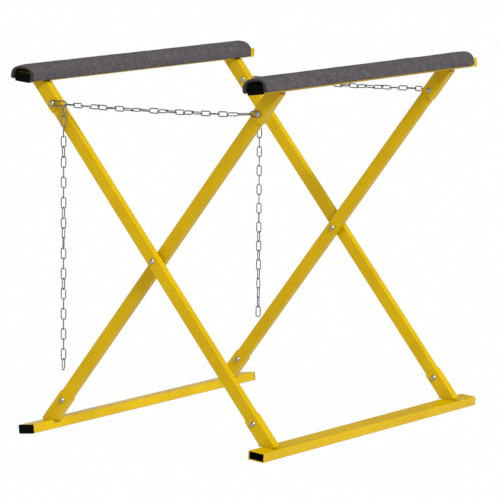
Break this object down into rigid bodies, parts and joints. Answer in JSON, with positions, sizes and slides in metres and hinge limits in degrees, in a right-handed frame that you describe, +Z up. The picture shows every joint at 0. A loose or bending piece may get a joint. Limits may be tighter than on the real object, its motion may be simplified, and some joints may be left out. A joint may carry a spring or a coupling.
{
  "type": "folding sawhorse",
  "caption": "Folding steel work stand: two crossed tube frames on pivot bolts, foam-covered top rails, spreader chains that stop the spread, loose chain tails.",
  "frame": {"origin": "on the floor, below the middle of the open stand", "axes": "+Z up; Y along the rails, near end at -Y; X across the crossed frames"},
  "size_m": [0.8318, 1.0852, 1.0113],
  "materials": {
    "yellow_paint": "glossy yellow powder coat on steel tube",
    "grey_foam": "closed-cell foam sleeve, matt charcoal grey, mottled",
    "black_plastic": "moulded black end plug",
    "zinc_steel": "bright zinc-plated bolts, nuts and spacers",
    "chain_steel": "zinc-plated welded chain"
  },
  "bodies": {
    "outer_frame": {"left_top_rail": "yellow_paint", "right_floor_rail": "yellow_paint", "left_rail_foam": "grey_foam", "left_top_rail_cap": "black_plastic", "near_outer_leg": "yellow_paint", "near_outer_top_socket": "yellow_paint", "near_outer_top_bolt": "zinc_steel", "near_outer_top_nut": "zinc_steel", "near_outer_floor_socket": "yellow_paint", "near_outer_floor_bolt": "zinc_steel", "near_outer_floor_nut": "zinc_steel", "near_pivot_bolt": "zinc_steel", "near_pivot_nut": "zinc_steel", "near_pivot_spacer": "zinc_steel", "near_hook_link": "chain_steel", "far_outer_leg": "yellow_paint", "far_outer_top_socket": "yellow_paint", "far_outer_top_bolt": "zinc_steel", "far_outer_top_nut": "zinc_steel", "far_outer_floor_socket": "yellow_paint", "far_outer_floor_bolt": "zinc_steel", "far_outer_floor_nut": "zinc_steel", "far_pivot_bolt": "zinc_steel", "far_pivot_nut": "zinc_steel", "far_pivot_spacer": "zinc_steel", "far_hook_link": "chain_steel"},
    "inner_frame": {"right_top_rail": "yellow_paint", "left_floor_rail": "yellow_paint", "right_rail_foam": "grey_foam", "right_top_rail_cap": "black_plastic", "left_floor_rail_near_cap": "black_plastic", "left_floor_rail_far_cap": "black_plastic", "near_inner_leg": "yellow_paint", "near_inner_top_socket": "yellow_paint", "near_inner_top_bolt": "zinc_steel", "near_inner_top_nut": "zinc_steel", "near_inner_floor_socket": "yellow_paint", "near_inner_floor_bolt": "zinc_steel", "near_inner_floor_nut": "zinc_steel", "far_inner_leg": "yellow_paint", "far_inner_top_socket": "yellow_paint", "far_inner_top_bolt": "zinc_steel", "far_inner_top_nut": "zinc_steel", "far_inner_floor_socket": "yellow_paint", "far_inner_floor_bolt": "zinc_steel", "far_inner_floor_nut": "zinc_steel"},
    "near_hook_chain": {"near_hook_strand": "chain_steel"},
    "near_ring_chain": {"near_ring_strand": "chain_steel", "near_end_ring": "chain_steel"},
    "near_tail_chain": {"near_chain_tail": "chain_steel"},
    "far_hook_chain": {"far_hook_strand": "chain_steel"},
    "far_ring_chain": {"far_ring_strand": "chain_steel", "far_end_ring": "chain_steel"},
    "far_tail_chain": {"far_chain_tail": "chain_steel"}
  },
  "joints": [
    {"name": "fold", "type": "hinge", "parent": "outer_frame", "child": "inner_frame", "pos_m": [0, -0.00525, 0.49585], "axis": [0, -1, 0], "range_deg": [0, 69]},
    {"name": "near_hook_chain_slack", "type": "hinge", "parent": "outer_frame", "child": "near_hook_chain", "pos_m": [-0.27876, -0.00525, 0.90477], "axis": [0, 1, 0], "range_deg": [0, 88.6]},
    {"name": "near_ring_chain_slack", "type": "hinge", "parent": "inner_frame", "child": "near_ring_chain", "pos_m": [0.32526, -0.00525, 0.90477], "axis": [0, -1, 0], "range_deg": [0, 20]},
    {"name": "near_tail_swing", "type": "hinge", "parent": "outer_frame", "child": "near_tail_chain", "pos_m": [-0.28176, -0.00525, 0.89797], "axis": [0, 1, 0], "range_deg": [-30, 30]},
    {"name": "far_hook_chain_slack", "type": "hinge", "parent": "outer_frame", "child": "far_hook_chain", "pos_m": [-0.27876, -0.00525, 0.90477], "axis": [0, 1, 0], "range_deg": [0, 88.6]},
    {"name": "far_ring_chain_slack", "type": "hinge", "parent": "inner_frame", "child": "far_ring_chain", "pos_m": [0.32526, -0.00525, 0.90477], "axis": [0, -1, 0], "range_deg": [0, 20]},
    {"name": "far_tail_swing", "type": "hinge", "parent": "outer_frame", "child": "far_tail_chain", "pos_m": [-0.28876, -0.00525, 0.89797], "axis": [0, 1, 0], "range_deg": [-30, 30]}
  ],
  "couplings": [
    {"joint": "near_hook_chain_slack", "follows": "fold", "ratio": 1.2826},
    {"joint": "near_ring_chain_slack", "follows": "fold", "ratio": 0.28841},
    {"joint": "far_hook_chain_slack", "follows": "fold", "ratio": 1.2826},
    {"joint": "far_ring_chain_slack", "follows": "fold", "ratio": 0.28841}
  ]
}
